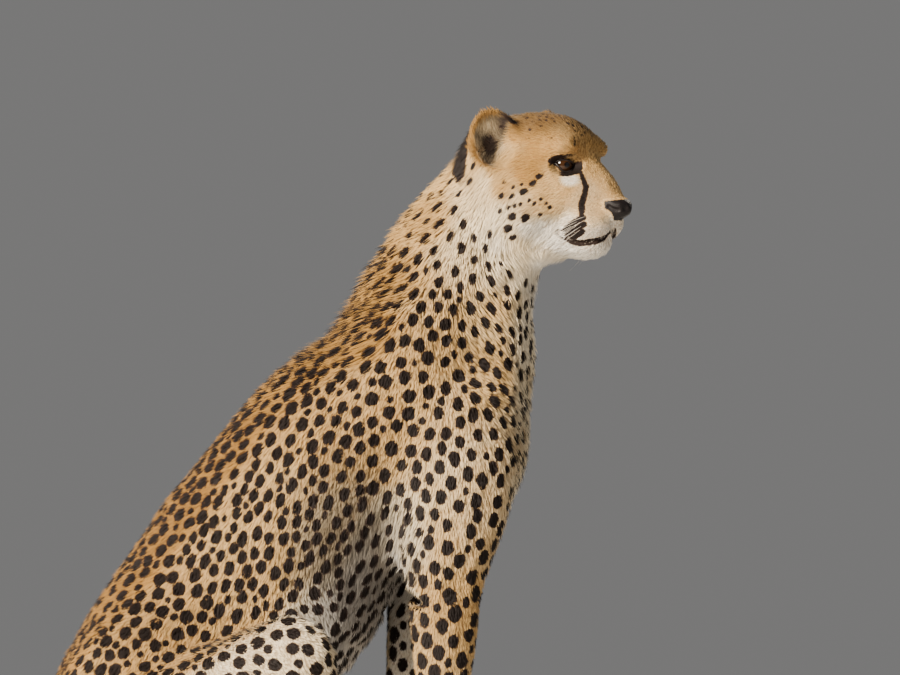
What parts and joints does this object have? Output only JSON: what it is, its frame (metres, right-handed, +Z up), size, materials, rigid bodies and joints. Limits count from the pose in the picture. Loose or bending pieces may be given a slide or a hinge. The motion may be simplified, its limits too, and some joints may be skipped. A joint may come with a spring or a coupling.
{
  "type": "cheetah",
  "caption": "Life-size still model of a cheetah sitting upright on its haunches, looking ahead and a little to its right, tail curled on the floor.",
  "frame": {"origin": "on the floor, under the middle of the bounding box", "axes": "+X is the way the chest faces, +Y is the animal's left, +Z is up"},
  "size_m": [0.9088, 0.4736, 0.9816],
  "materials": {
    "coat_golden": "short golden fur with round black spots",
    "coat_cream": "short cream fur with round black spots",
    "nose_leather": "bare black skin, slightly moist",
    "eye": "clear wet cornea over an amber iris",
    "claw": "dark horn",
    "whisker": "stiff pale hair"
  },
  "bodies": {
    "root": {"chest": "coat_golden", "ear_left": "coat_golden", "ear_right": "coat_golden", "eye_left": "eye", "eye_right": "eye", "forearm_left": "coat_cream", "forearm_right": "coat_cream", "forepaw_left": "coat_cream", "forepaw_right": "coat_cream", "head": "coat_golden", "hindfoot_left": "coat_cream", "hindfoot_right": "coat_cream", "loins": "coat_golden", "neck": "coat_golden", "nose": "nose_leather", "rump": "coat_golden", "shank_left": "coat_cream", "shank_right": "coat_cream", "tail_back": "coat_golden", "tail_base": "coat_golden", "tail_bend": "coat_golden", "tail_side": "coat_golden", "tail_tip": "coat_golden", "thigh_left": "coat_cream", "thigh_right": "coat_cream"}
  },
  "joints": []
}
